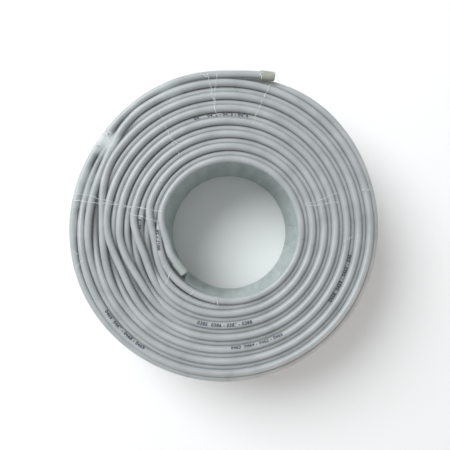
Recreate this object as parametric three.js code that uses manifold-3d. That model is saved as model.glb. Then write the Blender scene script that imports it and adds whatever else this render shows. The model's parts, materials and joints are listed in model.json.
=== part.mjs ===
// A coil of coaxial cable, wound in layers, capped at both ends and wrapped in clear stretch film.
// Millimetres, +Z up. The origin is on the floor, on the axis of the coil's outside.
// Angles are in degrees and run clockwise from +Y, seen from above.
import * as THREE from 'three';
import { mergeVertices } from 'three/addons/utils/BufferGeometryUtils.js';
import Module from 'manifold-3d';

// The cable and its winding
const cableDiameter = 6.9;
const turnGap = 0.75; // air between neighbouring turns of one layer
const turnsPerLayer = 11;
const layerCount = 14;
const boreRadius = 62.3;
const boreShift = new THREE.Vector2(5.9, -2.3); // the crossovers push the bore off the coil's axis
const crestWidth = 2.8; // the flat that each turn shows on the coil's ends and walls
const wallGroove = 3.4; // depth of the grooves between the turns on the walls
const endGroove = 1.5; // how far a groove between two layers lies below the lower one, on the ends

// Where the cable goes over to the next layer on top, for each even layer and the one inside it: the outer
// one's top turn dives at the first angle, and the inner one's rises there and moves out at the second
const crossovers = [[258, 275], [235, 275], [228, 265], [215, 253], [228, 260], [250, 287], [268, 310]];
const crossoverLength = 36; // the stretch in which a turn changes its level, as an angle
const undersideTurn = 20; // the crossovers underneath lie this much further round
// They push the turns outside them outwards
const bulge = { angle: 218, half: 52, height: 3.7 };

// The outer end lies along the outside of the top turn, then runs straight on past the coil's axis
const outerEnd = { leaves: -60, rises: 22, straight: 0, gap: 1.1, reach: 47.4 };
// The inner end lies along the bore's wall beyond its cap, then moves out into the innermost layer
const innerEnd = { tip: 226, lies: 5, merges: 30, gap: 0.6 };

// The push-on end caps
const capWall = 0.65;
const capLength = 14;
const capEnd = 2.2; // thickness of the closed end
const capRounding = 1.3;

// The film, with a pocket over each end of the cable and an open ring underneath
const filmThickness = 0.4;
const filmCorner = 1.9;
const filmSlit = 6;
const pocketDepth = 15;
const pocketSlope = 6; // how much further along the coil a pocket reaches than what it covers

// Clearance between touching pieces, and the fineness of the round shapes
const seat = 0.3;
const ringSides = 36;
const cableSides = 10;
const capSides = 20;
const pathStep = 5;

// Sizes that follow from those
const DEGREE = Math.PI / 180;
const cableRadius = cableDiameter / 2;
const turnPitch = cableDiameter + turnGap;
const layerSpacing = Math.sqrt(cableDiameter ** 2 - (turnPitch / 2) ** 2); // the turns nest
const outerRadius = boreRadius + (layerCount - 1) * layerSpacing + cableDiameter;
const coilBottom = filmThickness + seat;
const coilTop = coilBottom + (turnsPerLayer - 0.5) * turnPitch + cableDiameter;
const capBore = cableRadius + seat;
const capRadius = capBore + capWall;
const outerEndRadius = layerRadius(layerCount - 2) + cableDiameter + outerEnd.gap;
const innerEndRadius = boreRadius - innerEnd.gap - capRadius;
const endLevel = coilTop - capRadius; // the tops of the caps are level with the top turns

const wasm = await Module();
wasm.setup();

// The radius of a layer's turns, counted from 0 at the bore
function layerRadius(layer) {
  return boreRadius + cableRadius + layer * layerSpacing;
}

// Every other layer lies half a pitch lower, in the gaps of its neighbours
function layerDrop(layer) {
  return layer % 2 === 0 ? 0 : turnPitch / 2;
}

// How far the crossovers push a turn outwards: most in the second layer, and not at all in the last
function pushed(angle, radius) {
  const away = THREE.MathUtils.euclideanModulo(angle - bulge.angle + 180, 360) - 180;
  if (Math.abs(away) > bulge.half) return 0;
  const layer = THREE.MathUtils.clamp((radius - layerRadius(0)) / layerSpacing, 0, layerCount - 1);
  const share = Math.min(1, layer) * (1 - (layer / (layerCount - 1)) ** 3);
  return bulge.height * share * Math.cos((Math.PI / 2) * (away / bulge.half)) ** 2;
}

// A point of the coil: near the bore it moves sideways with the bore, and outside not at all
function place(angle, radius, level) {
  const share = 1 - THREE.MathUtils.clamp((radius - boreRadius) / (outerRadius - boreRadius), 0, 1);
  const distance = radius + pushed(angle, radius);
  return new THREE.Vector3(
    distance * Math.sin(angle * DEGREE) + boreShift.x * share,
    distance * Math.cos(angle * DEGREE) + boreShift.y * share,
    level,
  );
}

function toSolid(geometry) {
  const bare = geometry.index ? geometry.toNonIndexed() : geometry.clone();
  bare.deleteAttribute('normal');
  bare.deleteAttribute('uv');
  const merged = mergeVertices(bare, 1e-4);
  return new wasm.Manifold(new wasm.Mesh({
    numProp: 3,
    vertProperties: new Float32Array(merged.attributes.position.array),
    triVerts: new Uint32Array(merged.index.array),
  }));
}

function toGeometry(solid) {
  const mesh = solid.getMesh();
  const geometry = new THREE.BufferGeometry();
  geometry.setAttribute('position', new THREE.BufferAttribute(mesh.vertProperties, 3));
  geometry.setIndex(new THREE.BufferAttribute(mesh.triVerts, 1));
  geometry.computeVertexNormals();
  return geometry;
}

// A closed profile of [radius, level] points, anticlockwise, turned about the coil's axis. A level that
// changes along the coil is a function of the angle.
function turned(profile) {
  const points = profile.map(([radius, level]) => new THREE.Vector2(radius, Number(level) || 0));
  points.push(points[0].clone());
  const geometry = new THREE.LatheGeometry(points, ringSides);
  geometry.rotateX(Math.PI / 2);
  const position = geometry.attributes.position;
  for (let i = 0; i < position.count; i += 1) {
    const radius = Math.hypot(position.getX(i), position.getY(i));
    const angle = Math.atan2(position.getX(i), position.getY(i)) / DEGREE;
    const [, level] = profile[(i % points.length) % profile.length];
    const point = place(angle, radius, typeof level === 'function' ? level(angle) : level);
    position.setXYZ(i, point.x, point.y, point.z);
  }
  return toSolid(geometry);
}

// How far a layer's crest lies below the highest one, on top or underneath, past its crossover with the layer
// beside it. The coil's first and last layers have their turns on the walls too, and stay level.
function crestDrop(layer, angle, underneath) {
  const low = (layer % 2 === 1) !== underneath;
  const drop = low ? turnPitch / 2 : 0;
  const crossover = crossovers[underneath ? Math.floor(layer / 2) : Math.ceil(layer / 2)];
  if (layer === 0 || layer === layerCount - 1 || !crossover) return drop;
  const round = THREE.MathUtils.euclideanModulo(angle - (underneath ? undersideTurn : 0), 360);
  const [dives, moves] = crossover;
  const half = crossoverLength / 2;
  const share = THREE.MathUtils.smoothstep(round, dives - half, dives + half)
    * (1 - THREE.MathUtils.smoothstep(round, moves - half, moves + half));
  return THREE.MathUtils.lerp(drop, low ? 0 : turnPitch, share);
}

// The crests and grooves of all layers on one end, from the bore outwards
function windingEnd(underneath) {
  const level = underneath
    ? (layer, angle, extra) => coilBottom + crestDrop(layer, angle, true) + extra
    : (layer, angle, extra) => coilTop - crestDrop(layer, angle, false) - extra;
  const deeper = underneath ? Math.max : Math.min;
  const profile = [];
  for (let layer = 0; layer < layerCount; layer += 1) {
    const crest = (angle) => level(layer, angle, 0);
    profile.push([layerRadius(layer) - crestWidth / 2, crest], [layerRadius(layer) + crestWidth / 2, crest]);
    if (layer === layerCount - 1) break;
    const groove = (angle) => deeper(level(layer, angle, endGroove), level(layer + 1, angle, endGroove));
    profile.push([layerRadius(layer) + layerSpacing / 2, groove]);
  }
  return profile;
}

// The crests and grooves of one layer's turns on a wall, from the bottom up
function windingWall(radius, groove, lowest) {
  const profile = [];
  for (let turn = 0; turn < turnsPerLayer; turn += 1) {
    const level = lowest + turn * turnPitch;
    profile.push([radius, level - crestWidth / 2], [radius, level + crestWidth / 2]);
    if (turn < turnsPerLayer - 1) profile.push([radius + groove, level + turnPitch / 2]);
  }
  return profile;
}

// The winding: every layer's crest on both ends, every turn's crest on both walls
function woundRing() {
  const lowest = coilBottom + cableRadius;
  return turned([
    ...windingEnd(true),
    ...windingWall(outerRadius, -wallGroove, lowest),
    ...windingEnd(false).toReversed(),
    ...windingWall(boreRadius, wallGroove, lowest + layerDrop(1)).toReversed(),
  ]);
}

function cableAlong(points) {
  const path = new THREE.CatmullRomCurve3(points, false, 'centripetal');
  const section = new THREE.Shape().absarc(0, 0, cableRadius, 0, 2 * Math.PI);
  const geometry = new THREE.ExtrudeGeometry(section, {
    steps: points.length - 1, extrudePath: path, curveSegments: cableSides,
  });
  return toSolid(geometry);
}

// The angles from one to another, both included, about a path step apart
function sweep(from, to) {
  const count = Math.max(1, Math.round(Math.abs(to - from) / pathStep));
  return Array.from({ length: count + 1 }, (_, i) => from + ((to - from) * i) / count);
}

function outerEndPath() {
  const last = layerCount - 1;
  const start = place(0, layerRadius(last), coilTop - layerDrop(last) - cableRadius);
  const points = sweep(outerEnd.leaves, outerEnd.straight).map((angle) => {
    const share = THREE.MathUtils.smoothstep(angle, outerEnd.leaves, outerEnd.leaves + outerEnd.rises);
    const radius = THREE.MathUtils.lerp(layerRadius(last), outerEndRadius, share);
    return place(angle, radius, THREE.MathUtils.lerp(start.z, endLevel, share));
  });
  const bend = points.at(-1);
  const length = outerEnd.reach - capEnd - seat - bend.x;
  for (const share of [1 / 3, 2 / 3, 1]) points.push(bend.clone().add(new THREE.Vector3(length * share, 0, 0)));
  return points;
}

// The inner end's cap lies along the middle of its own stretch of the bore's wall
const innerMouth = innerEnd.tip + capLength / innerEndRadius / DEGREE;
const innerLeaves = innerMouth + innerEnd.lies;
const innerJoined = innerLeaves + innerEnd.merges;

function innerEndPath() {
  const points = sweep(innerMouth, innerJoined + pathStep).map((angle) => {
    const share = THREE.MathUtils.smoothstep(angle, innerLeaves, innerJoined);
    const radius = THREE.MathUtils.lerp(innerEndRadius, layerRadius(0), share);
    return place(angle, radius, THREE.MathUtils.lerp(endLevel, coilTop - cableRadius, share));
  });
  const { origin, direction } = innerCapAxis();
  const inside = capLength - capEnd - seat;
  points.unshift(origin.clone().addScaledVector(direction, inside / 2));
  points.unshift(origin.clone().addScaledVector(direction, inside));
  return points;
}

// Where each cap's mouth is, and the way its closed end points
function outerCapAxis() {
  const origin = new THREE.Vector3(outerEnd.reach - capLength, outerEndRadius, endLevel);
  return { origin, direction: new THREE.Vector3(1, 0, 0) };
}

function innerCapAxis() {
  const origin = place(innerMouth, innerEndRadius, endLevel);
  const direction = place(innerEnd.tip, innerEndRadius, endLevel).sub(origin).normalize();
  return { origin, direction };
}

// A profile of [radius, distance from the mouth] points from axis to axis, turned about a cap's axis
function turnedOnCapAxis(profile, { origin, direction }) {
  const points = profile.map(([radius, along]) => new THREE.Vector2(radius, along));
  const geometry = new THREE.LatheGeometry(points, capSides);
  const turn = new THREE.Quaternion().setFromUnitVectors(new THREE.Vector3(0, 1, 0), direction);
  geometry.applyQuaternion(turn);
  geometry.translate(origin.x, origin.y, origin.z);
  return geometry;
}

function endCap(axis) {
  const depth = capLength - capEnd;
  return turnedOnCapAxis([
    [0, depth],
    [capBore, depth],
    [capBore, 0],
    [capRadius, 0],
    [capRadius, capLength - capRounding],
    [capRadius - capRounding * 0.3, capLength - capRounding * 0.3],
    [capRadius - capRounding, capLength],
    [0, capLength],
  ], axis);
}

// The room that a cap and its clearance take up
function capRoom(axis) {
  const radius = capRadius + seat;
  return toSolid(turnedOnCapAxis([
    [0, -seat],
    [radius, -seat],
    [radius, capLength + seat],
    [0, capLength + seat],
  ], axis));
}

// An upright prism over an outline of points
function prism(outline, bottom, top) {
  const shape = new THREE.Shape(outline.map((point) => new THREE.Vector2(point.x, point.y)));
  const geometry = new THREE.ExtrudeGeometry(shape, { depth: top - bottom, bevelEnabled: false });
  geometry.translate(0, 0, bottom);
  return toSolid(geometry);
}

// A body round the coil that keeps a distance from it: the ring and its two pockets
function filmBody(distance) {
  const inner = boreRadius - distance;
  const outer = outerRadius + distance;
  const bottom = coilBottom - distance;
  const top = coilTop + distance;
  const corner = filmCorner + distance;
  const cut = corner * 0.3;
  const ring = turned([
    [inner, bottom + corner], [inner + cut, bottom + cut], [inner + corner, bottom],
    [outer - corner, bottom], [outer - cut, bottom + cut], [outer, bottom + corner],
    [outer, top - corner], [outer - cut, top - cut], [outer - corner, top],
    [inner + corner, top], [inner + cut, top - cut], [inner, top - corner],
  ]);
  const low = endLevel - pocketDepth - distance;
  return ring
    .add(prism(outerPocket(distance), low, top))
    .add(prism(innerPocket(distance), low, top));
}

// The outer end's pocket leaves the coil's outside, follows the cable and drops back behind its cap
function outerPocket(distance) {
  const radius = outerEndRadius + capRadius + distance;
  const reach = outerEnd.reach + distance;
  const within = layerRadius(layerCount - 2);
  const outline = [place(outerEnd.leaves - 2 * pocketSlope, within, 0)];
  for (const angle of sweep(outerEnd.leaves - pocketSlope, outerEnd.straight)) {
    outline.push(place(angle, radius, 0));
  }
  outline.push(new THREE.Vector3(reach, radius, 0), new THREE.Vector3(reach + pocketSlope, within - 10, 0));
  return outline;
}

// The inner end's pocket leaves the bore's wall, follows the cable and comes back behind its cap
function innerPocket(distance) {
  const radius = innerEndRadius - capRadius - distance - seat;
  const first = innerEnd.tip - pocketSlope;
  const last = innerJoined + pocketSlope;
  const alongCable = sweep(last - pocketSlope / 2, first + pocketSlope / 2);
  return [
    ...sweep(first, last).map((angle) => place(angle, layerRadius(0), 0)),
    ...alongCable.map((angle) => place(angle, radius, 0)),
  ];
}

function filmWrap() {
  const middle = (boreRadius + outerRadius) / 2;
  const slit = turned([
    [middle - filmSlit / 2, -filmThickness], [middle + filmSlit / 2, -filmThickness],
    [middle + filmSlit / 2, coilBottom], [middle - filmSlit / 2, coilBottom],
  ]);
  return filmBody(seat + filmThickness).subtract(filmBody(seat)).subtract(slit);
}

function cableCoil() {
  return woundRing()
    .subtract(capRoom(outerCapAxis()))
    .subtract(capRoom(innerCapAxis()))
    .add(cableAlong(outerEndPath()))
    .add(cableAlong(innerEndPath()));
}

const coil = new THREE.Group();

function addPart(name, geometry, material) {
  const mesh = new THREE.Mesh(geometry, new THREE.MeshStandardMaterial(material));
  mesh.name = name;
  coil.add(mesh);
}

addPart('cable_coil', toGeometry(cableCoil()), { color: '#b9c1c4', roughness: 0.45, metalness: 0 });
addPart('outer_end_cap', endCap(outerCapAxis()), { color: '#d9d6bd', roughness: 0.5, metalness: 0 });
addPart('inner_end_cap', endCap(innerCapAxis()), { color: '#dfe3e0', roughness: 0.5, metalness: 0 });
addPart('film_wrap', toGeometry(filmWrap()), {
  color: '#dfe8e8', roughness: 0.15, metalness: 0, transparent: true, opacity: 0.25,
});

export default coil;
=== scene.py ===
# A coil of coaxial cable in clear stretch film, lying flat and seen from straight above.
# Metres, +Z up. Angles are in degrees and run clockwise from +Y, seen from above.
import json
import math

import bpy
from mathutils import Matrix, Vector, noise

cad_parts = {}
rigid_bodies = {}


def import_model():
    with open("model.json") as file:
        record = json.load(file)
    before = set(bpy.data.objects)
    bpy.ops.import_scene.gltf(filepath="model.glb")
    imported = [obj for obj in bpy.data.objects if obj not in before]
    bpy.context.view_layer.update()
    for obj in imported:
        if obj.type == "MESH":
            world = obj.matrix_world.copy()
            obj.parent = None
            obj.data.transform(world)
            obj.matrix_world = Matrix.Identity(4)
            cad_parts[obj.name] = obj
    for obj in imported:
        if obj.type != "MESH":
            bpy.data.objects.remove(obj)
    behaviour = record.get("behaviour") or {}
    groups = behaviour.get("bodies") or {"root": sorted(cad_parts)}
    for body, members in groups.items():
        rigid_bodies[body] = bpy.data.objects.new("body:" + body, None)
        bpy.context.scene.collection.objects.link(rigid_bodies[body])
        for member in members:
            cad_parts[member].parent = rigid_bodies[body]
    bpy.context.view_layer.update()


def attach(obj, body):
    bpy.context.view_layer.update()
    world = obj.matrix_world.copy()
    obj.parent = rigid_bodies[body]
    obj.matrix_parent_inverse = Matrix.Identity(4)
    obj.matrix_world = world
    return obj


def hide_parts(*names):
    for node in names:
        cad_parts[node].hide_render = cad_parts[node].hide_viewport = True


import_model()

# The cable and its winding, as in the solids. Even layers have a turn at the very top, and odd layers lie
# half a pitch lower.
CABLE = 0.0069
CABLE_RADIUS = CABLE / 2
TURN_GAP = 0.00075
TURNS = 11
LAYERS = 14
LAST_LAYER = LAYERS - 1
BORE_RADIUS = 0.0623
BORE_SHIFT = Vector((0.0059, -0.0023))
PITCH = CABLE + TURN_GAP
SPACING = math.sqrt(CABLE ** 2 - (PITCH / 2) ** 2)
OUTER_RADIUS = BORE_RADIUS + LAST_LAYER * SPACING + CABLE
FILM = 0.0004
SEAT = 0.0003
COIL_BOTTOM = FILM + SEAT
COIL_TOP = COIL_BOTTOM + (TURNS - 0.5) * PITCH + CABLE
EVEN_LEVEL = COIL_TOP - CABLE_RADIUS
ODD_LEVEL = EVEN_LEVEL - PITCH / 2

# Where each pair of layers crosses over on the top face, from the bore outwards: the angle where its
# outer layer dives and its inner one rises, and the angle where the inner one then moves outwards
CROSSINGS = ((272, 275), (235, 275), (228, 265), (215, 253), (228, 260), (250, 287), (268, 310))
TURN_AHEAD = 5  # the changes of turn beside a move lie this much before it
SWAP_HALF = 20
MOVE_HALF = 16
UNDERSIDE_TURN = 20  # the same pair crosses this much further round on the underside
LAST_RISE = 25  # the outermost layer's last turn rises beyond the outer end's cap
DIP = 0.0025  # how far a layer slips inwards before it moves out
DIP_BEYOND = 15
ROUTE_STEP = 2.5
CABLE_FINENESS = 4

# Where the winding isn't round. The crossovers of the innermost layers push the others out, and a little
# of that is seen in the innermost layer itself.
BULGE = 0.0037
BULGE_ANGLE = 218
BULGE_HALF = 52
BULGE_INNERMOST = 0.3
# The inner end pushes out the innermost layers
INNER_BULGE = 0.0017
INNER_BULGE_ANGLE = 246
INNER_BULGE_HALF = 44
INNER_BULGE_LAYERS = 3
# The outermost layer lies loosely: angle, half width and height
OUTER_BULGES = ((28, 52, 0.0025), (250, 54, 0.0017))

# The small unevenness of a real winding, sideways and in level
UNEVEN_OUT = 0.00018
UNEVEN_OUT_WAVES = 1.2
UNEVEN_UP = 0.00022
UNEVEN_UP_WAVES = 0.9
UNEVEN_UP_START = Vector((0, 0, 7))
UNEVEN_BETWEEN_LAYERS = 2.6

# The outer end of the cable: it leaves the outermost layer, runs over its top and bends back at the tip
TAIL_LEAVES = 300
TAIL_SETTLED = 350
TAIL_GAP = 0.0011  # between the free end and the last layer but one
TAIL_REACH = 0.0474  # how far the tip lies beyond the coil's middle, along +X
TAIL_BENDS_FROM = 0.016
TAIL_BEND = 2.4  # the bend grows with the square of the distance
TAIL_STEPS = 12

# The inner end: it leaves its cap, runs along the bore's wall and joins the innermost layer
INNER_TIP = 226
INNER_NEARS = 250  # where it has come nearer to the wall
INNER_NEAR_RADIUS = 0.0599
INNER_LEAVES = 258
INNER_JOINED = 288
INNER_GAP = 0.0006
INNER_CAP_NEARER = 0.0017  # how much closer to the wall than in the solids the cap lies

# The caps
CAP_LENGTH = 0.014
CAP_WALL = 0.00065
INNER_CAP_WALL = 0.00025  # the inner end's cap is thinner
CAP_END = 0.0022
CAP_ROUNDING = 0.0014
CAP_ROUNDING_STEPS = 5
CAP_SIDES = 40
CAP_TAPER = 0.07
CAP_TAPERS_FROM = 0.3  # as a share of the length
CAP_FACING = 0.9  # faces that look this far along the axis are the flat ends
CAP_SMOOTH_UNDER = 40
CAP_RADIUS = CABLE_RADIUS + SEAT + CAP_WALL
END_LEVEL = COIL_TOP - CAP_RADIUS
TAIL_RADIUS = BORE_RADIUS + CABLE_RADIUS + (LAYERS - 2) * SPACING + CABLE + TAIL_GAP
INNER_RADIUS = BORE_RADIUS - INNER_GAP - CAP_RADIUS + INNER_CAP_NEARER
CAP_ANGLE = math.degrees(CAP_LENGTH / INNER_RADIUS)

# The photograph: where it is taken from, in its pixels and in metres
PHOTO_SIDE = 450
PHOTO_MIDDLE = Vector((PHOTO_SIDE / 2, PHOTO_SIDE / 2))
COIL_PIXEL = Vector((224.0, 227.5))
NADIR_PIXEL = Vector((223.0, 244.0))
METRES_PER_PIXEL = 0.00092
CAMERA_HEIGHT = 0.425  # above the coil's top face
SENSOR = 36.0


def smooth(value):
    value = min(1.0, max(0.0, value))
    return value * value * (3 - 2 * value)


def blend(low, high, share):
    return low + (high - low) * share


def hump(value, centre, half):
    """1 at the centre, falling to 0 at half a width on either side."""
    away = abs((value - centre + 180) % 360 - 180)
    return math.cos(math.pi / 2 * away / half) ** 2 if away < half else 0.0


def layer_radius(layer):
    return BORE_RADIUS + CABLE_RADIUS + layer * SPACING


def outer_bulge(angle):
    """How far the outermost layer stands out where it lies loosely."""
    return sum(height * hump(angle, centre, half) for centre, half, height in OUTER_BULGES)


def place(angle, radius, level):
    """A point of the coil. Near the bore it moves sideways with the bore, and outside not at all."""
    share = 1 - min(1.0, max(0.0, (radius - BORE_RADIUS) / (OUTER_RADIUS - BORE_RADIUS)))
    turn = math.radians(angle)
    return Vector((radius * math.sin(turn) + BORE_SHIFT.x * share,
                   radius * math.cos(turn) + BORE_SHIFT.y * share, level))


# The route of the cable

def crossing(layer, turn):
    """The angle where a layer changes turns, which drifts from the top face to the underside."""
    if layer % 2 == 0:
        top = CROSSINGS[layer // 2][0]
        below = CROSSINGS[layer // 2][1] + UNDERSIDE_TURN - TURN_AHEAD
    elif layer == LAST_LAYER:
        top = 360 + LAST_RISE
        below = CROSSINGS[layer // 2][0] + UNDERSIDE_TURN
    else:
        top = CROSSINGS[(layer + 1) // 2][1] - TURN_AHEAD
        below = CROSSINGS[layer // 2][0] + UNDERSIDE_TURN
    return blend(top, below, turn / (TURNS - 2))


def next_angle(least, angle):
    """The first angle from the least one onwards that points the given way."""
    return least + (angle - least) % 360


def winding():
    """The changes along the cable of level, layer and slip, each as [angle, half width, amount].

    Even layers are wound downwards and odd ones upwards.
    """
    levels, moves, slips = [], [], []
    angle = INNER_JOINED
    for layer in range(LAYERS):
        down = layer % 2 == 0
        turns = range(TURNS - 1) if down else reversed(range(TURNS - 1))
        for turn in turns:
            angle = next_angle(angle + 180, crossing(layer, turn))
            levels.append([angle, SWAP_HALF, -PITCH if down else PITCH])
        if layer == LAST_LAYER:
            break
        swap, move = CROSSINGS[layer // 2 if down else (layer + 1) // 2]
        apart = move - swap
        if down:
            move += UNDERSIDE_TURN
        angle = next_angle(angle + 180, move)
        levels.append([angle - apart, SWAP_HALF, -PITCH / 2 if down else PITCH / 2])
        moves.append([angle, MOVE_HALF, 1])
        slips.append([angle - apart / 2, apart / 2 + DIP_BEYOND, DIP])
    return levels, moves, slips, next_angle(angle + 180, 360)


def total(changes, angle):
    """The sum of the changes that are over or under way at an angle."""
    return sum(amount * smooth((angle - centre) / (2 * half) + 0.5)
               for centre, half, amount in changes if angle > centre - half)


def over(change, angle):
    centre, half, amount = change
    return angle > centre + half


def cable_point(angle, level, layer, slip):
    """A point on the cable's axis, which is the same at every turn of a layer."""
    pushed = min(1, layer + BULGE_INNERMOST) * (1 - (layer / LAST_LAYER) ** 3)
    inner_pushed = max(0, 1 - layer / INNER_BULGE_LAYERS)
    radius = layer_radius(layer) - slip
    radius += BULGE * hump(angle, BULGE_ANGLE, BULGE_HALF) * pushed
    radius += INNER_BULGE * hump(angle, INNER_BULGE_ANGLE, INNER_BULGE_HALF) * inner_pushed
    radius += outer_bulge(angle) * max(0, layer - LAST_LAYER + 1)
    turn = math.radians(angle)
    around = Vector((math.sin(turn), math.cos(turn), layer * UNEVEN_BETWEEN_LAYERS))
    radius += UNEVEN_OUT * noise.noise(around * UNEVEN_OUT_WAVES)
    level += UNEVEN_UP * noise.noise(around * UNEVEN_UP_WAVES + UNEVEN_UP_START)
    return place(angle, radius, level)


def cable_routes():
    """The cable's axis as a list of routes, one for each pair of layers, with its two ends."""
    levels, moves, slips, end = winding()
    routes, route = [], inner_end_route()
    done_level, done_layer = EVEN_LEVEL, 0
    angle = INNER_JOINED
    while angle < end:
        while levels and over(levels[0], angle):
            done_level += levels.pop(0)[2]
        while moves and over(moves[0], angle):
            done_layer += moves.pop(0)[2]
            if done_layer % 2 == 1:
                routes.append(route)
                route = [route[-1]]
        while slips and over(slips[0], angle):
            slips.pop(0)
        level = done_level + total(levels[:2], angle)
        layer = done_layer + total(moves[:1], angle)
        slip = sum(amount * hump(angle, centre, half) for centre, half, amount in slips[:1]
                   if abs(angle - centre) < half)
        if end - angle < 360 - TAIL_LEAVES:
            route.append(tail_point(360 - (end - angle), level))
        else:
            route.append(cable_point(angle, level, layer, slip))
        angle += ROUTE_STEP
    route.extend(tail_straight())
    routes.append(route)
    return routes


def inner_end_route():
    """The inner end, from inside its cap along the bore's wall and out into the innermost layer."""
    mouth, direction = inner_cap_axis()
    inside = CAP_LENGTH - CAP_END - SEAT
    route = [mouth + direction * inside, mouth + direction * inside / 2]
    angle = INNER_TIP + CAP_ANGLE
    while angle < INNER_JOINED:
        share = smooth((angle - INNER_LEAVES) / (INNER_JOINED - INNER_LEAVES))
        near = place(angle, inner_radius(angle), END_LEVEL)
        wound = cable_point(angle, EVEN_LEVEL, 0, 0)
        route.append(near.lerp(wound, share))
        angle += ROUTE_STEP
    return route


def inner_radius(angle):
    """How far out the inner end lies along the bore's wall."""
    share = smooth((angle - INNER_TIP - CAP_ANGLE) / (INNER_NEARS - INNER_TIP - CAP_ANGLE))
    return blend(INNER_RADIUS, INNER_NEAR_RADIUS, share)


def tail_point(angle, level):
    share = smooth((angle - TAIL_LEAVES) / (TAIL_SETTLED - TAIL_LEAVES))
    wound = layer_radius(LAST_LAYER) + outer_bulge(angle)
    return place(angle, blend(wound, TAIL_RADIUS, share), blend(level, END_LEVEL, share))


def tail_straight():
    """The free length of the outer end, along +X from the coil's middle to inside its cap."""
    length = TAIL_REACH - CAP_END - SEAT
    return [tail_spot(length * step / TAIL_STEPS) for step in range(1, TAIL_STEPS + 1)]


def tail_spot(reach):
    return Vector((reach, TAIL_RADIUS - tail_drop(reach), END_LEVEL))


def tail_drop(reach):
    """How far the free end has bent back towards the coil at a distance from the coil's middle."""
    return TAIL_BEND * max(0, reach - TAIL_BENDS_FROM) ** 2


def outer_cap_axis():
    """The middle of the cap's mouth and the way it points."""
    mouth = tail_spot(TAIL_REACH - CAP_LENGTH)
    return mouth, (tail_spot(TAIL_REACH) - mouth).normalized()


def inner_cap_axis():
    mouth = place(INNER_TIP + CAP_ANGLE, INNER_RADIUS, END_LEVEL)
    return mouth, (place(INNER_TIP, INNER_RADIUS, END_LEVEL) - mouth).normalized()


# Making the pieces

def only(piece):
    bpy.ops.object.select_all(action="DESELECT")
    piece.select_set(True)
    bpy.context.view_layer.objects.active = piece


def joined(pieces):
    """One piece made of several, in the place of the first."""
    bpy.ops.object.select_all(action="DESELECT")
    for piece in pieces:
        piece.select_set(True)
    bpy.context.view_layer.objects.active = pieces[0]
    bpy.ops.object.join()
    return bpy.context.object


def finish_piece(piece, name, material, node):
    piece.name = name
    piece.data.name = name
    piece.data.materials.clear()
    piece.data.materials.append(material)
    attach(piece, "root")
    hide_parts(node)
    return piece


def tube(name, route, radius, fineness):
    """A round tube along a route, as a mesh with closed ends."""
    curve = bpy.data.curves.new(name, "CURVE")
    curve.dimensions = "3D"
    curve.twist_mode = "Z_UP"
    curve.bevel_depth = radius
    curve.bevel_resolution = fineness
    curve.use_fill_caps = True
    spline = curve.splines.new("POLY")
    spline.points.add(len(route) - 1)
    for point, position in zip(spline.points, route):
        point.co = (*position, 1)
    piece = bpy.data.objects.new(name, curve)
    bpy.context.collection.objects.link(piece)
    only(piece)
    bpy.ops.object.convert(target="MESH")
    piece = bpy.context.object
    only(piece)
    bpy.ops.object.shade_smooth()
    return piece


def cable(material):
    """The whole cable, in one length for each pair of layers."""
    for number, route in enumerate(cable_routes(), 1):
        name = f"cable_layers_{number}"
        piece = tube(name, route, CABLE_RADIUS, CABLE_FINENESS)
        finish_piece(piece, name, material, "cable_coil")


def select_end(cap, facing):
    """Goes into edit mode with only the flat end selected that looks up (1) or down (-1)."""
    bpy.ops.object.mode_set(mode="EDIT")
    bpy.ops.mesh.select_mode(type="FACE")
    bpy.ops.mesh.select_all(action="DESELECT")
    bpy.ops.object.mode_set(mode="OBJECT")
    for face in cap.data.polygons:
        face.select = face.normal.z * facing > CAP_FACING
    bpy.ops.object.mode_set(mode="EDIT")


def end_cap(name, axis, wall, node, material):
    """A push-on cap: a cup with a rounded closed end, over the cable's end."""
    mouth, direction = axis
    bpy.ops.object.select_all(action="DESELECT")
    bpy.ops.mesh.primitive_cylinder_add(vertices=CAP_SIDES, radius=CABLE_RADIUS + SEAT + wall,
                                        depth=CAP_LENGTH, location=(0, 0, CAP_LENGTH / 2))
    cap = bpy.context.object
    bpy.ops.object.transform_apply(location=True, rotation=True, scale=True)
    select_end(cap, 1)
    bpy.ops.mesh.bevel(offset=CAP_ROUNDING, segments=CAP_ROUNDING_STEPS, affect="EDGES")
    select_end(cap, -1)
    bpy.ops.mesh.inset(thickness=wall)
    bpy.ops.mesh.extrude_region_move(TRANSFORM_OT_translate={"value": (0, 0, CAP_LENGTH - CAP_END)})
    bpy.ops.object.mode_set(mode="OBJECT")
    for vertex in cap.data.vertices:
        vertex.co.xy *= 1 - CAP_TAPER * max(0, vertex.co.z / CAP_LENGTH - CAP_TAPERS_FROM)
    turn = Vector((0, 0, 1)).rotation_difference(direction).to_matrix().to_4x4()
    turn.translation = mouth
    cap.matrix_world = turn
    bpy.ops.object.transform_apply(location=True, rotation=True, scale=True)
    bpy.ops.object.shade_smooth_by_angle(angle=math.radians(CAP_SMOOTH_UNDER))
    return finish_piece(cap, name, material, node)


# The film

FILM_GAP = 0.0003
FILM_UNDER = 0.0001  # level of the film under the coil
FOOT = 0.003  # rounding of the film's lower corners
OUTER_DRAPE = 0.022  # how far down the film leans in again below the outer end
BORE_DRAPE = 0.018
# How many degrees the film takes to fall from the outer cap's tip, and to rise onto the inner cap's tip
OUTER_TIP_FALL = 3
INNER_TIP_RISE = 4
MOUTH_RISE = 1.5  # and to climb from the cable onto a cap
MOUTH_RISES_BEFORE = 1

# The torus before its points are laid over the strands
TORUS_RADIUS = 0.1
TORUS_THICKNESS = 0.04
FILM_SIDES = 256
TOP_STEPS = 40
RIM_STEPS = 4
WALL_STEPS = 7
CORNER_STEPS = 8
FOOT_STEPS = 4
UNDER_STEPS = 12

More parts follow.
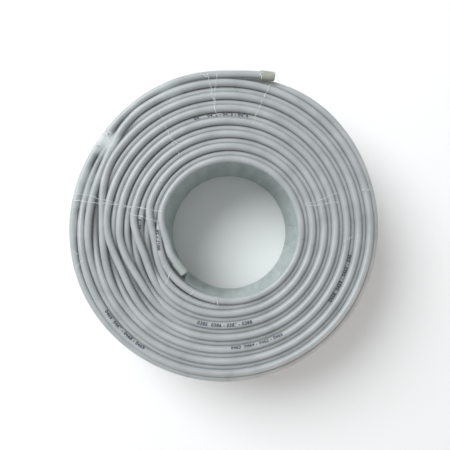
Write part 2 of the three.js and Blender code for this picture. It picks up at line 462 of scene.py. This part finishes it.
# Where the film lies in several wrinkled turns and looks milky: angle, half width and height of the patch
HAZE_PATCHES = ((286, 10, 0.26), (305.5, 6, 0.5), (271, 6, 0.15), (338, 5, 0.15))
HAZE_LAYERS = 4  # how many layers in from the outside a patch begins
HAZE_EDGE = 0.006
LINING_TOP = 0.004  # how far below the top face the film on the bore's wall is fully milky
LINING_REACH = 0.0015  # how far out from the bore's wall the film belongs to it


def outer_support(angle):
    """The outermost strand under the film at an angle: its radius, level and thickness."""
    plain = (layer_radius(LAST_LAYER) + outer_bulge(angle), ODD_LEVEL, CABLE_RADIUS)
    signed = (angle + 180) % 360 - 180
    tip = math.degrees(math.atan2(TAIL_REACH, TAIL_RADIUS - tail_drop(TAIL_REACH)))
    mouth = math.degrees(math.atan2(TAIL_REACH - CAP_LENGTH, TAIL_RADIUS))
    if signed < 0:
        share = smooth((signed + 360 - TAIL_LEAVES) / (TAIL_SETTLED - TAIL_LEAVES))
        held = (TAIL_RADIUS, END_LEVEL, CABLE_RADIUS)
    else:
        share = 1 - smooth((signed - tip) / OUTER_TIP_FALL)
        over_cap = smooth((signed - mouth + MOUTH_RISES_BEFORE) / MOUTH_RISE)
        turn = math.radians(min(signed, tip))
        along = (TAIL_RADIUS - tail_drop(TAIL_RADIUS * math.tan(turn))) / math.cos(turn)
        held = (along, END_LEVEL, blend(CABLE_RADIUS, CAP_RADIUS, over_cap))
    return [blend(a, b, share) for a, b in zip(plain, held)]


def inner_support(angle):
    """The innermost strand under the film at an angle: its radius, level and thickness."""
    plain = (layer_radius(0), EVEN_LEVEL, CABLE_RADIUS)
    rises = smooth((angle - INNER_TIP + INNER_TIP_RISE) / INNER_TIP_RISE)
    leaves = smooth((angle - INNER_LEAVES) / (INNER_JOINED - INNER_LEAVES))
    over_cap = 1 - smooth((angle - INNER_TIP - CAP_ANGLE) / MOUTH_RISE)
    held = (inner_radius(angle), END_LEVEL, blend(CABLE_RADIUS, CAP_RADIUS, over_cap))
    return [blend(a, b, rises * (1 - leaves)) for a, b in zip(plain, held)]


def straight(start, end, count):
    """Points of a line, without the last one."""
    return [(blend(start[0], end[0], i / count), blend(start[1], end[1], i / count)) for i in range(count)]


def arc(centre, radius, start, end, count):
    """Points of an arc, without the last one."""
    points = []
    for i in range(count):
        turn = math.radians(blend(start, end, i / count))
        points.append((centre[0] + radius * math.cos(turn), centre[1] + radius * math.sin(turn)))
    return points


def film_section(angle):
    """The film at an angle, as (radius, level) points from the middle of the outer wall upwards and round."""
    radius, level, thickness = outer_support(angle)
    thickness += FILM_GAP
    in_radius, in_level, in_thickness = inner_support(angle)
    in_thickness += FILM_GAP
    wall = OUTER_RADIUS + outer_bulge(angle) + FILM_GAP
    bore = BORE_RADIUS - FILM_GAP
    middle = COIL_TOP / 2
    foot_level = FOOT + FILM_UNDER
    last_crest = (layer_radius(LAYERS - 2), COIL_TOP + FILM_GAP)
    first_crest = (in_radius, in_level + in_thickness)
    lean = math.degrees(math.atan2(last_crest[1] - level - thickness, radius - last_crest[0]))
    drape = (wall, level - OUTER_DRAPE)
    bore_drape = (bore, in_level - BORE_DRAPE)
    points = straight((wall, middle), drape, WALL_STEPS)
    points += straight(drape, (radius + thickness, level), WALL_STEPS)
    points += arc((radius, level), thickness, 0, 90 - lean, CORNER_STEPS)
    corner_end = arc((radius, level), thickness, 90 - lean, 90, 1)[0]
    points += straight(corner_end, last_crest, RIM_STEPS)
    points += straight(last_crest, first_crest, TOP_STEPS)
    points += arc((in_radius, in_level), in_thickness, 90, 180, CORNER_STEPS)
    points += straight((in_radius - in_thickness, in_level), bore_drape, WALL_STEPS)
    points += straight(bore_drape, (bore, foot_level), WALL_STEPS)
    points += arc((bore + FOOT, foot_level), FOOT, 180, 270, FOOT_STEPS)
    points += straight((bore + FOOT, FILM_UNDER), (wall - FOOT, FILM_UNDER), UNDER_STEPS)
    points += arc((wall - FOOT, foot_level), FOOT, 270, 360, FOOT_STEPS)
    points += straight((wall, foot_level), (wall, middle), WALL_STEPS)
    return points


def haze(angle, radius):
    """The milkiness of the film on the outermost strands."""
    outside = smooth((radius - layer_radius(LAYERS - HAZE_LAYERS)) / HAZE_EDGE)
    return outside * max(height * hump(angle, centre, half) ** 0.5 for centre, half, height in HAZE_PATCHES)


def film_wrap(material):
    """The clear skin round the whole coil: a torus whose section is laid over the strands."""
    rings = len(film_section(0))
    bpy.ops.object.select_all(action="DESELECT")
    bpy.ops.mesh.primitive_torus_add(major_segments=FILM_SIDES, minor_segments=rings,
                                     major_radius=TORUS_RADIUS, minor_radius=TORUS_THICKNESS)
    film = bpy.context.object
    milky = film.data.attributes.new("milky", "FLOAT", "POINT")
    lining = film.data.attributes.new("lining", "FLOAT", "POINT")
    for side in range(FILM_SIDES):
        angle = (90 - 360 * side / FILM_SIDES) % 360
        for ring, (radius, level) in enumerate(film_section(angle)):
            number = side * rings + ring
            film.data.vertices[number].co = place(angle, radius, level)
            milky.data[number].value = haze(angle, radius)
            on_bore = radius < BORE_RADIUS + LINING_REACH
            lining.data[number].value = smooth((COIL_TOP - level) / LINING_TOP) if on_bore else 0
    only(film)
    bpy.ops.object.shade_smooth()
    return finish_piece(film, "film_wrap", material, "film_wrap")


# Each crease is a real fold drawn as a thin tube, and its white is a painted glint of light on the fold
# Creases in the film's top face: angle, outer and inner radius in the photograph's pixels, sideways drift in
# degrees from the outer to the inner end, and thickness
CREASES = (
    (18, 148, 104, -3, 2.6), (13.4, 160.5, 150, 0.4, 4.0), (18.2, 160.5, 151, 3.2, 3.2),
    (74, 117, 82, 2, 2.6), (79, 115, 84, -2, 2.2), (76, 150, 140, 0, 2.0), (95, 128, 120, 3, 2.0),
    (185, 80, 72, 2, 2.6), (189, 79, 73, -2, 2.2), (225, 84, 72, 4, 2.6), (279, 155, 64, 3, 2.6),
    (282.5, 152, 90, -2, 2.0), (277, 96, 66, -4, 2.4), (303, 80, 76, 2, 2.6), (309, 156, 143, -3, 4.5),
    (306.5, 157, 146, 3, 3.2), (301, 156, 147, 2, 3.0), (330, 132, 84, -3, 2.2), (328, 104, 88, 3, 2.0),
    (353.5, 153, 110, 2, 2.6), (357, 151, 118, -2, 2.2), (349, 158, 149, 4, 3.4), (262, 158, 150, -3, 2.2),
    (254, 156, 146, 2, 2.0), (208, 82, 73, -3, 2.0),
)
# These too are real folds whose white is a painted glint
# Creases on the bore's wall: angle, depth of the upper and of the lower end below the top face in
# millimetres, drift and thickness
WALL_CREASES = (
    (62, 6, 46, 7, 2.6), (76, 5, 38, -6, 2.2), (84, 8, 60, 3, 2.6), (97, 5, 42, 9, 2.4),
    (108, 12, 64, -4, 2.0), (118, 5, 36, 5, 2.6), (133, 6, 50, -7, 2.2), (150, 10, 44, 5, 2.0),
    (176, 6, 40, -4, 2.2), (204, 8, 36, 4, 2.0), (38, 6, 34, -4, 2.0), (300, 6, 30, 4, 2.0),
)
# The radius of a crease is its thickness divided by this
CREASE_DIVISOR = 13000
WALL_CREASE_DIVISOR = 8000
CREASE_STEPS = 24
CREASE_FINENESS = 1
# How far a crease wanders to either side in degrees, and how often
CREASE_WANDER = 0.9
CREASE_WAVES = 6
CREASE_APART = 5.7
CREASE_SHIVER = 0.25
CREASE_SHIVERS = 25
WALL_CREASE_WANDER = 1.2
WALL_CREASE_WAVES = 5
WALL_CREASE_APART = 4.3


def crease_route(angle, outer, inner, drift, number):
    """A fold across the top face, given from the middle of the photograph."""
    from_coil = (PHOTO_MIDDLE - COIL_PIXEL) * METRES_PER_PIXEL
    route = []
    for i in range(CREASE_STEPS + 1):
        share = i / CREASE_STEPS
        reach = blend(outer, inner, share) * METRES_PER_PIXEL
        wander = CREASE_WANDER * noise.noise((share * CREASE_WAVES, number * CREASE_APART, 1))
        wander += CREASE_SHIVER * noise.noise((share * CREASE_SHIVERS, number, 2))
        turn = math.radians(angle + drift * share + wander)
        point = Vector((from_coil.x + reach * math.sin(turn), -from_coil.y + reach * math.cos(turn)))
        route.append(Vector((point.x, point.y, film_level(point))))
    return route


def film_level(point):
    """The level of the film's outside above a point of the top face, or of its rounded rims."""
    angle = math.degrees(math.atan2(point.x, point.y)) % 360
    radius, level, thickness = outer_support(angle)
    away = point.length - radius
    top = COIL_TOP + FILM_GAP
    if away <= 0:
        return top
    return min(top, level + math.sqrt(max(0, (thickness + FILM_GAP) ** 2 - away ** 2)))


def wall_crease_route(angle, upper, lower, drift, number):
    route = []
    for i in range(CREASE_STEPS + 1):
        share = i / CREASE_STEPS
        wander = WALL_CREASE_WANDER * noise.noise((share * WALL_CREASE_WAVES, number * WALL_CREASE_APART, 3))
        level = COIL_TOP - blend(upper, lower, share) / 1000
        route.append(place(angle + drift * share + wander, BORE_RADIUS - FILM_GAP, level))
    return route


def film_creases(material):
    """The folds pulled into the film across the coil and down the bore's wall, as one piece, with a painted
    white glint along them.
    """
    made = []
    for number, (*line, thickness) in enumerate(CREASES):
        route = crease_route(*line, number)
        made.append(tube(f"crease_{number}", route, thickness / CREASE_DIVISOR, CREASE_FINENESS))
    for number, (*line, thickness) in enumerate(WALL_CREASES):
        route = wall_crease_route(*line, number)
        made.append(tube(f"wall_crease_{number}", route, thickness / WALL_CREASE_DIVISOR, CREASE_FINENESS))
    return finish_piece(joined(made), "film_creases", material, "film_wrap")


# Metre figures printed along the cable: their layer, the middle of the row, how far the row is turned from
# the strand's top towards the outside, and the figures
FIGURES = (
    (7, 357, 6, "0471  0472 - 0473 - 0474"),
    (9, 113, 4, "0458  0459 - 0460 - 0461"),
    (8, 165, -34, "0463  0464 - 0465 - 0466"),
    (4, 182, -12, "0385  0386 - 0387 - 0388"),
    (12, 224.5, -34, "0466  0467 - 0468 - 0469"),
    (3, 268.5, 0, "0212 - 0213"),
    (0, 262, 8, "0017 - 18"),
)
FIGURE_SIZE = 0.0044
FIGURE_SPACING = 1.1
FIGURE_BOLDNESS = 0.00018
FIGURE_DEPTH = 0.00004
FIGURE_RESOLUTION = 2
FIGURE_NUDGE = 0.01  # the share of a layer over which the way outwards is measured
# Rows between these angles have their tops towards the bore, so that they read from below
READ_FROM_BELOW = (90, 240)


def figure_row(figures):
    """A flat row of figures, with a little depth."""
    bpy.ops.object.select_all(action="DESELECT")
    bpy.ops.object.text_add(location=(0, 0, 0))
    text = bpy.context.object.data
    text.body = figures
    text.align_x = "CENTER"
    text.align_y = "CENTER"
    text.size = FIGURE_SIZE
    text.space_character = FIGURE_SPACING
    text.extrude = FIGURE_DEPTH
    text.offset = FIGURE_BOLDNESS
    text.resolution_u = FIGURE_RESOLUTION
    bpy.ops.object.convert(target="MESH")
    return bpy.context.object


def printed_figures(material):
    """Rows of plain figures, bent round the strand that they are printed on."""
    made = []
    for layer, middle, turned, figures in FIGURES:
        row = figure_row(figures)
        level = ODD_LEVEL if layer % 2 else EVEN_LEVEL
        reads = -1 if READ_FROM_BELOW[0] < middle < READ_FROM_BELOW[1] else 1
        for vertex in row.data.vertices:
            along, across, raised = vertex.co
            angle = middle + math.degrees(along / layer_radius(layer)) * reads
            side = across / CABLE_RADIUS * reads + math.radians(turned)
            out = CABLE_RADIUS + FIGURE_DEPTH / 2 + raised
            centre = cable_point(angle, level, layer, 0)
            outwards = cable_point(angle, level, layer + FIGURE_NUDGE, 0) - centre
            outwards = Vector((outwards.x, outwards.y, 0)).normalized()
            vertex.co = centre + outwards * math.sin(side) * out + Vector((0, 0, math.cos(side) * out))
        made.append(row)
    return finish_piece(joined(made), "printed_figures", material, "cable_coil")


# Materials. Scales are those of the patches and of the grain, tones are the dark and the light one, and
# ranges are the least and the most.

JACKET_SCALES = (55, 1400)
JACKET_TONES = ((0.315, 0.335, 0.34), (0.395, 0.415, 0.42))
JACKET_ROUGHNESS = (0.26, 0.38)
JACKET_GRAIN = 0.00006
CAP_SCALES = (160, 2200)
CREAM_TONES = ((0.29, 0.295, 0.24), (0.37, 0.375, 0.31))
PALE_TONES = ((0.29, 0.33, 0.315), (0.36, 0.4, 0.38))
CAP_ROUGHNESS = (0.42, 0.55)
CAP_GRAIN = 0.00005
INK_SCALES = (420, 1800)
INK_TONES = ((0.01, 0.012, 0.035), (0.05, 0.055, 0.09))
INK_ROUGHNESS = 0.6
FILM_CLEAR = (0.80, 0.86, 0.86)
FILM_LINING = (0.46, 0.54, 0.52)
FILM_ROUGHNESS = 0.3
FILM_SHINE = 0.35
FILM_WRINKLES = 0.0012
STREAK_SCALE = 90
STREAK_DETAIL = 4
STREAK_SQUEEZE = 0.12
# How much the film hides: seen face-on and edge-on, in a milky patch and on the bore's wall
FACING_BLEND = 0.3
CLEAR_VEIL = (0.015, 0.1)
PATCH_VEIL = (0.4, 1.1)
LINING_VEIL = (0.6, 0.85)
# The creases' white colour, with its broken opacity, is a painted glint of light along each fold
CREASE_GLINT_COLOUR = (0.86, 0.9, 0.9)
CREASE_BREAK_SCALE = 260
CREASE_BREAK_RANGE = (0.35, 0.6)
CREASE_GLINT_VEIL = (0.15, 0.95)
PATCH_DETAIL = 3
GRAIN_DETAIL = 2
BUMP_STRENGTH = 0.4
# Nearly all of a noise texture lies between these values
NOISE_RANGE = (0.3, 0.7)


def new_material(name):
    material = bpy.data.materials.new(name)
    material.use_nodes = True
    tree = material.node_tree
    tree.nodes.clear()
    shader = tree.nodes.new("ShaderNodeBsdfPrincipled")
    output = tree.nodes.new("ShaderNodeOutputMaterial")
    tree.links.new(shader.outputs["BSDF"], output.inputs["Surface"])
    return material, tree, shader


def map_range(tree, value, low, high, from_low=0.0, from_high=1.0):
    """Spreads a value from one range to another."""
    node = tree.nodes.new("ShaderNodeMapRange")
    node.inputs["From Min"].default_value = from_low
    node.inputs["From Max"].default_value = from_high
    node.inputs["To Min"].default_value = low
    node.inputs["To Max"].default_value = high
    tree.links.new(value, node.inputs["Value"])
    return node.outputs["Result"]


def calculate(tree, operation, first, second):
    node = tree.nodes.new("ShaderNodeMath")
    node.operation = operation
    tree.links.new(first, node.inputs[0])
    tree.links.new(second, node.inputs[1])
    return node.outputs["Value"]


def mottle_group():
    """Uneven tone, as on moulded or extruded plastic that has been handled: a mask and a fine height."""
    group = bpy.data.node_groups.new("mottled_plastic", "ShaderNodeTree")
    for name in ("Patch Scale", "Grain Scale"):
        group.interface.new_socket(name, in_out="INPUT", socket_type="NodeSocketFloat")
    for name in ("Patches", "Grain"):
        group.interface.new_socket(name, in_out="OUTPUT", socket_type="NodeSocketFloat")
    given = group.nodes.new("NodeGroupInput")
    result = group.nodes.new("NodeGroupOutput")
    coordinates = group.nodes.new("ShaderNodeTexCoord")
    for scale, detail, output in (("Patch Scale", PATCH_DETAIL, "Patches"),
                                  ("Grain Scale", GRAIN_DETAIL, "Grain")):
        texture = group.nodes.new("ShaderNodeTexNoise")
        texture.inputs["Detail"].default_value = detail
        group.links.new(coordinates.outputs["Object"], texture.inputs["Vector"])
        group.links.new(given.outputs[scale], texture.inputs["Scale"])
        spread = map_range(group, texture.outputs["Fac"], 0, 1, *NOISE_RANGE)
        group.links.new(spread, result.inputs[output])


def add_mottle(tree, patch_scale, grain_scale):
    node = tree.nodes.new("ShaderNodeGroup")
    node.node_tree = bpy.data.node_groups["mottled_plastic"]
    node.inputs["Patch Scale"].default_value = patch_scale
    node.inputs["Grain Scale"].default_value = grain_scale
    return node.outputs["Patches"], node.outputs["Grain"]


def two_tones(tree, shader, mask, tones):
    ramp = tree.nodes.new("ShaderNodeValToRGB")
    ramp.color_ramp.elements[0].color = (*tones[0], 1)
    ramp.color_ramp.elements[1].color = (*tones[1], 1)
    tree.links.new(mask, ramp.inputs["Fac"])
    tree.links.new(ramp.outputs["Color"], shader.inputs["Base Color"])


def vary_roughness(tree, shader, mask, roughness):
    tree.links.new(map_range(tree, mask, *roughness), shader.inputs["Roughness"])


def add_bump(tree, shader, height, depth):
    bump = tree.nodes.new("ShaderNodeBump")
    bump.inputs["Strength"].default_value = BUMP_STRENGTH
    bump.inputs["Distance"].default_value = depth
    tree.links.new(height, bump.inputs["Height"])
    tree.links.new(bump.outputs["Normal"], shader.inputs["Normal"])


def jacket_material():
    """Light grey extruded jacket: satin, faintly uneven in tone, with a very fine grain."""
    material, tree, shader = new_material("cable_jacket")
    patches, grain = add_mottle(tree, *JACKET_SCALES)
    two_tones(tree, shader, patches, JACKET_TONES)
    vary_roughness(tree, shader, patches, JACKET_ROUGHNESS)
    add_bump(tree, shader, grain, JACKET_GRAIN)
    return material


def cap_material(name, tones):
    """Satin moulded plastic."""
    material, tree, shader = new_material(name)
    patches, grain = add_mottle(tree, *CAP_SCALES)
    two_tones(tree, shader, patches, tones)
    vary_roughness(tree, shader, grain, CAP_ROUGHNESS)
    add_bump(tree, shader, grain, CAP_GRAIN)
    return material


def print_material():
    """Dark ink, worn in places."""
    material, tree, shader = new_material("printed_ink")
    patches, _ = add_mottle(tree, *INK_SCALES)
    two_tones(tree, shader, patches, INK_TONES)
    shader.inputs["Roughness"].default_value = INK_ROUGHNESS
    return material


def film_streaks(tree):
    """Wrinkles that run up and down the film's walls."""
    coordinates = tree.nodes.new("ShaderNodeTexCoord")
    squeeze = tree.nodes.new("ShaderNodeMapping")
    squeeze.inputs["Scale"].default_value = (1, 1, STREAK_SQUEEZE)
    streaks = tree.nodes.new("ShaderNodeTexNoise")
    streaks.inputs["Scale"].default_value = STREAK_SCALE
    streaks.inputs["Detail"].default_value = STREAK_DETAIL
    tree.links.new(coordinates.outputs["Object"], squeeze.inputs["Vector"])
    tree.links.new(squeeze.outputs["Vector"], streaks.inputs["Vector"])
    return streaks.outputs["Fac"]


def attribute(tree, name):
    node = tree.nodes.new("ShaderNodeAttribute")
    node.attribute_name = name
    return node.outputs["Fac"]


def film_material():
    """Clear film: milky where it is wrinkled and on the bore's wall, where its turns lie over each other."""
    material, tree, shader = new_material("stretch_film")
    shader.inputs["Roughness"].default_value = FILM_ROUGHNESS
    shader.inputs["Specular IOR Level"].default_value = FILM_SHINE
    streaks = film_streaks(tree)
    milky = attribute(tree, "milky")
    lining = attribute(tree, "lining")
    tones = tree.nodes.new("ShaderNodeMix")
    tones.data_type = "RGBA"
    tones.inputs["A"].default_value = (*FILM_CLEAR, 1)
    tones.inputs["B"].default_value = (*FILM_LINING, 1)
    tree.links.new(lining, tones.inputs["Factor"])
    tree.links.new(tones.outputs["Result"], shader.inputs["Base Color"])
    facing = tree.nodes.new("ShaderNodeLayerWeight")
    facing.inputs["Blend"].default_value = FACING_BLEND
    clear = map_range(tree, facing.outputs["Facing"], *CLEAR_VEIL)
    hazy = calculate(tree, "MULTIPLY", milky, map_range(tree, streaks, *PATCH_VEIL, *NOISE_RANGE))
    lined = calculate(tree, "MULTIPLY", lining, map_range(tree, streaks, *LINING_VEIL, *NOISE_RANGE))
    veiled = calculate(tree, "ADD", calculate(tree, "ADD", clear, hazy), lined)
    veiled.node.use_clamp = True
    tree.links.new(veiled, shader.inputs["Alpha"])
    add_bump(tree, shader, streaks, FILM_WRINKLES)
    return material


def crease_glint_material():
    """A sharp fold of the film, coloured white as a painted glint of light along it."""
    material, tree, shader = new_material("film_crease_glint")
    # The white colour is a painted glint on the fold, not a colour of the film itself
    shader.inputs["Base Color"].default_value = (*CREASE_GLINT_COLOUR, 1)
    shader.inputs["Roughness"].default_value = FILM_ROUGHNESS
    coordinates = tree.nodes.new("ShaderNodeTexCoord")
    breaks = tree.nodes.new("ShaderNodeTexNoise")
    breaks.inputs["Scale"].default_value = CREASE_BREAK_SCALE
    tree.links.new(coordinates.outputs["Object"], breaks.inputs["Vector"])
    veiled = map_range(tree, breaks.outputs["Fac"], *CREASE_GLINT_VEIL, *CREASE_BREAK_RANGE)
    tree.links.new(veiled, shader.inputs["Alpha"])
    return material


# The camera, floor and light

FLOOR_SIDE = 60
FLOOR_TONE = (0.9, 0.9, 0.9)
FLOOR_ROUGHNESS = 0.6
WORLD_STRENGTH = 0.57
KEY_PLACE = Vector((-0.9, 0.75, 1.28))
KEY_SIZE = 1.25
KEY_ENERGY = 30
KEY_COLOUR = (0.95, 0.985, 1)
# What a brown table top would throw back on the coil's side, and not on the white floor
BOUNCE_PLACE = Vector((0.42, -0.5, 0.035))
BOUNCE_WIDTH = 0.9
BOUNCE_HEIGHT = 0.07
BOUNCE_ENERGY = 1.7
BOUNCE_COLOUR = (1, 0.56, 0.34)


def camera():
    """Looks straight down from over the photograph's nadir."""
    data = bpy.data.cameras.new("camera")
    data.sensor_width = SENSOR
    data.lens = SENSOR * CAMERA_HEIGHT / METRES_PER_PIXEL / PHOTO_SIDE
    data.shift_x = (PHOTO_MIDDLE.x - NADIR_PIXEL.x) / PHOTO_SIDE
    data.shift_y = (NADIR_PIXEL.y - PHOTO_MIDDLE.y) / PHOTO_SIDE
    away = (NADIR_PIXEL - COIL_PIXEL) * METRES_PER_PIXEL
    piece = bpy.data.objects.new("camera", data)
    piece.location = (away.x, -away.y, COIL_TOP + CAMERA_HEIGHT)
    bpy.context.scene.collection.objects.link(piece)
    bpy.context.scene.camera = piece


def area_light(name, location, energy, colour):
    """An area light that points at the coil's middle."""
    light = bpy.data.lights.new(name, "AREA")
    light.energy = energy
    light.color = colour
    piece = bpy.data.objects.new(name, light)
    piece.location = location
    piece.rotation_euler = (-piece.location).to_track_quat("-Z", "Y").to_euler()
    bpy.context.scene.collection.objects.link(piece)
    return piece


def floor():
    bpy.ops.object.select_all(action="DESELECT")
    bpy.ops.mesh.primitive_plane_add(size=FLOOR_SIDE)
    piece = bpy.context.object
    piece.name = "floor"
    material, tree, shader = new_material("white_floor")
    shader.inputs["Base Color"].default_value = (*FLOOR_TONE, 1)
    shader.inputs["Roughness"].default_value = FLOOR_ROUGHNESS
    piece.data.materials.append(material)


def daylight():
    world = bpy.data.worlds.new("studio")
    bpy.context.scene.world = world
    world.use_nodes = True
    background = world.node_tree.nodes["Background"]
    background.inputs["Color"].default_value = (1, 1, 1, 1)
    background.inputs["Strength"].default_value = WORLD_STRENGTH
    bpy.context.scene.view_settings.view_transform = "Standard"


def key_light():
    key = area_light("key", KEY_PLACE, KEY_ENERGY, KEY_COLOUR)
    key.data.shape = "DISK"
    key.data.size = KEY_SIZE


def bounce_light():
    bounce = area_light("bounce", BOUNCE_PLACE, BOUNCE_ENERGY, BOUNCE_COLOUR)
    bounce.data.shape = "RECTANGLE"
    bounce.data.size = BOUNCE_WIDTH
    bounce.data.size_y = BOUNCE_HEIGHT
    lit = bpy.data.collections.new("lit_by_bounce")
    for piece in bpy.data.objects:
        if piece.name.startswith("cable_layers"):
            lit.objects.link(piece)
    bounce.light_linking.receiver_collection = lit


camera()
mottle_group()
cable(jacket_material())
end_cap("outer_end_cap_moulded", outer_cap_axis(), CAP_WALL, "outer_end_cap",
        cap_material("cream_cap", CREAM_TONES))
end_cap("inner_end_cap_moulded", inner_cap_axis(), INNER_CAP_WALL, "inner_end_cap",
        cap_material("pale_cap", PALE_TONES))
printed_figures(print_material())
film_wrap(film_material())
film_creases(crease_glint_material())
floor()
daylight()
key_light()
bounce_light()
